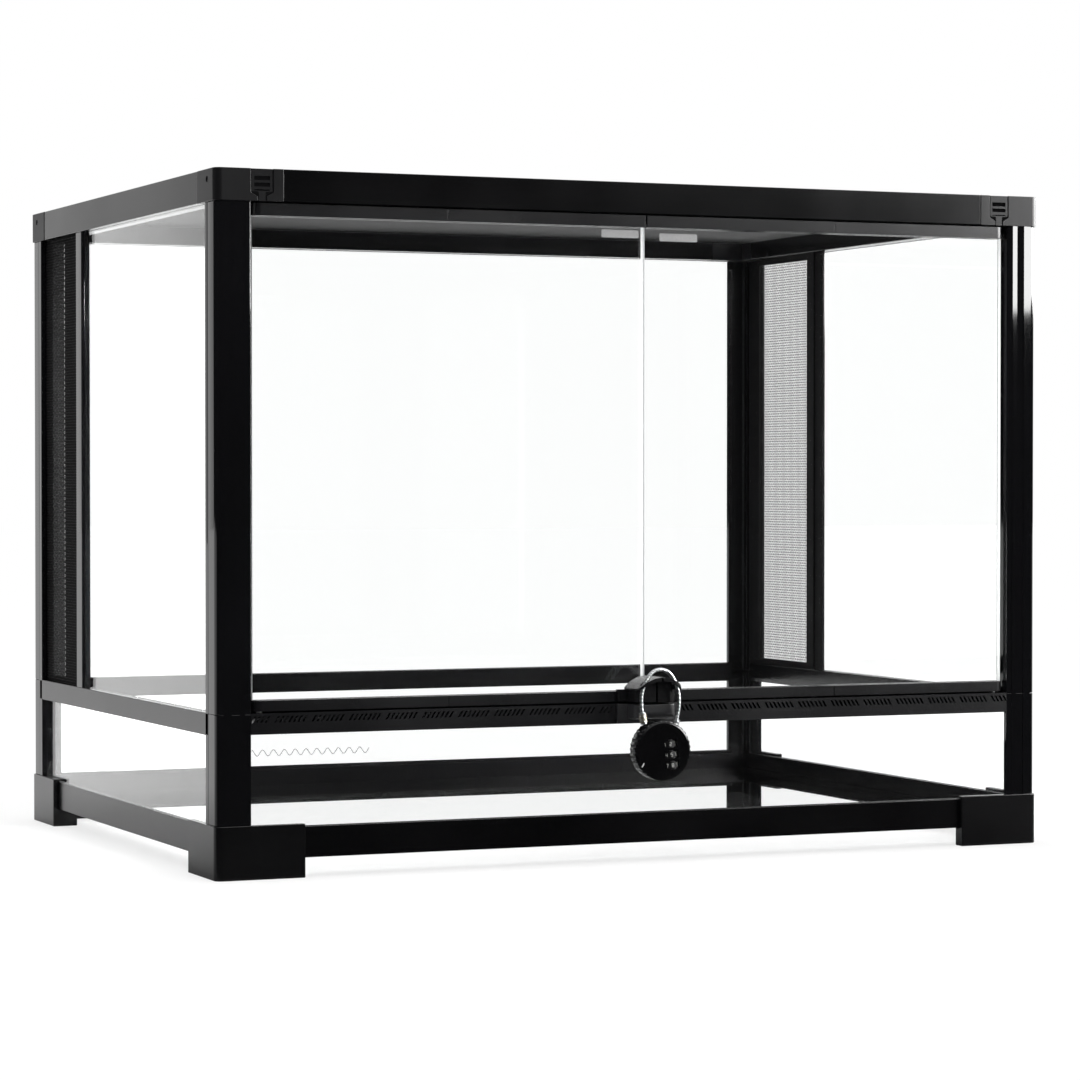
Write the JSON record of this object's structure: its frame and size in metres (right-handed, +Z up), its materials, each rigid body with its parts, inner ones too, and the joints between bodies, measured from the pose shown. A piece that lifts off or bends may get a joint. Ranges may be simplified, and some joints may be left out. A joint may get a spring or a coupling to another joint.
{
  "type": "reptile terrarium",
  "caption": "Glass terrarium case in black profiles with hinged front doors, mesh side vents and top, corner feet, and a cable padlock on the door handles.",
  "frame": {"origin": "under the middle of the whole object, on the floor that the feet stand on; the case itself is 13 mm behind it because the padlock hangs in front", "axes": "+Z up, +X to the right seen from the front, -Y towards the doors"},
  "size_m": [0.6, 0.466, 0.45],
  "materials": {
    "glass": "clear float glass with faintly green edges",
    "gloss_black": "glossy extruded plastic",
    "rail_black": "satin extruded plastic",
    "foot_black": "finely textured moulded plastic",
    "corner_black": "finely textured moulded plastic",
    "strip_black": "satin extruded plastic",
    "handle_black": "semi-gloss moulded plastic",
    "mesh_black": "fine woven wire, painted black",
    "pin_steel": "plain steel pins",
    "cable_steel": "clear coated steel wire rope with crimped ferrules",
    "lock_black": "semi-gloss moulded case",
    "dial_black": "black number wheels with plain white digits"
  },
  "bodies": {
    "case": {"foot_front_left": "foot_black", "foot_front_right": "foot_black", "foot_back_left": "foot_black", "foot_back_right": "foot_black", "bottom_rail_front": "rail_black", "bottom_rail_back": "rail_black", "bottom_rail_left": "rail_black", "bottom_rail_right": "rail_black", "base_glass": "glass", "lower_post_front_left": "gloss_black", "lower_post_front_right": "gloss_black", "lower_post_back_left": "gloss_black", "lower_post_back_right": "gloss_black", "lower_glass_front": "glass", "lower_glass_back": "glass", "lower_glass_left": "glass", "lower_glass_right": "glass", "vent_rail": "strip_black", "mid_rail_back": "rail_black", "mid_rail_left": "rail_black", "mid_rail_right": "rail_black", "upper_post_front_left": "gloss_black", "upper_post_front_right": "gloss_black", "upper_post_back_left": "gloss_black", "upper_post_back_right": "gloss_black", "back_glass": "glass", "side_glass_left": "glass", "side_glass_right": "glass", "side_mesh_left": "mesh_black", "side_mesh_right": "mesh_black", "divider_left": "gloss_black", "divider_right": "gloss_black", "top_corner_front_left": "corner_black", "top_corner_front_right": "corner_black", "top_corner_back_left": "corner_black", "top_corner_back_right": "corner_black", "top_rail_front": "rail_black", "top_rail_back": "rail_black", "top_rail_left": "rail_black", "top_rail_right": "rail_black", "lower_hinge_pins": "pin_steel", "catch_block": "handle_black"},
    "mesh_top": {"lid_frame": "rail_black", "lid_mesh": "mesh_black"},
    "left_door": {"door_glass_left": "glass", "door_top_strip_left": "strip_black", "door_low_strip_left": "strip_black", "door_handle_left": "handle_black"},
    "right_door": {"door_glass_right": "glass", "door_top_strip_right": "strip_black", "door_low_strip_right": "strip_black", "door_handle_right": "handle_black"},
    "left_slider": {"hinge_slider_left": "corner_black"},
    "right_slider": {"hinge_slider_right": "corner_black"},
    "padlock": {"padlock_front": "lock_black", "padlock_back": "lock_black", "padlock_cable": "cable_steel"},
    "top_dial": {"dial_top": "dial_black"},
    "middle_dial": {"dial_middle": "dial_black"},
    "bottom_dial": {"dial_bottom": "dial_black"}
  },
  "joints": [
    {"name": "left_door_hinge", "type": "hinge", "parent": "case", "child": "left_door", "pos_m": [-0.2685, -0.199, 0.26], "axis": [0, 0, -1], "range_deg": [0, 95], "deforming": ["padlock_cable"]},
    {"name": "right_door_hinge", "type": "hinge", "parent": "case", "child": "right_door", "pos_m": [0.2685, -0.199, 0.26], "axis": [0, 0, 1], "range_deg": [0, 95], "deforming": ["padlock_cable"]},
    {"name": "left_pin_slide", "type": "slide", "parent": "case", "child": "left_slider", "axis": [0, 0, 1], "range_m": [0, 0.01]},
    {"name": "right_pin_slide", "type": "slide", "parent": "case", "child": "right_slider", "axis": [0, 0, 1], "range_m": [0, 0.01]},
    {"name": "mesh_top_lift", "type": "slide", "parent": "case", "child": "mesh_top", "axis": [0, 0, 1], "range_m": [0, 0.08]},
    {"name": "padlock_swing", "type": "hinge", "parent": "right_door", "child": "padlock", "pos_m": [0, -0.227, 0.121], "axis": [-1, 0, 0], "range_deg": [0, 50], "deforming": ["padlock_cable"]},
    {"name": "top_dial_turn", "type": "hinge", "parent": "padlock", "child": "top_dial", "pos_m": [0.00482, -0.227, 0.07962], "axis": [-0.1219, 0, 0.9925], "continuous": true},
    {"name": "middle_dial_turn", "type": "hinge", "parent": "padlock", "child": "middle_dial", "pos_m": [0.00568, -0.227, 0.07267], "axis": [-0.1219, 0, 0.9925], "continuous": true},
    {"name": "bottom_dial_turn", "type": "hinge", "parent": "padlock", "child": "bottom_dial", "pos_m": [0.00653, -0.227, 0.06572], "axis": [-0.1219, 0, 0.9925], "continuous": true}
  ]
}
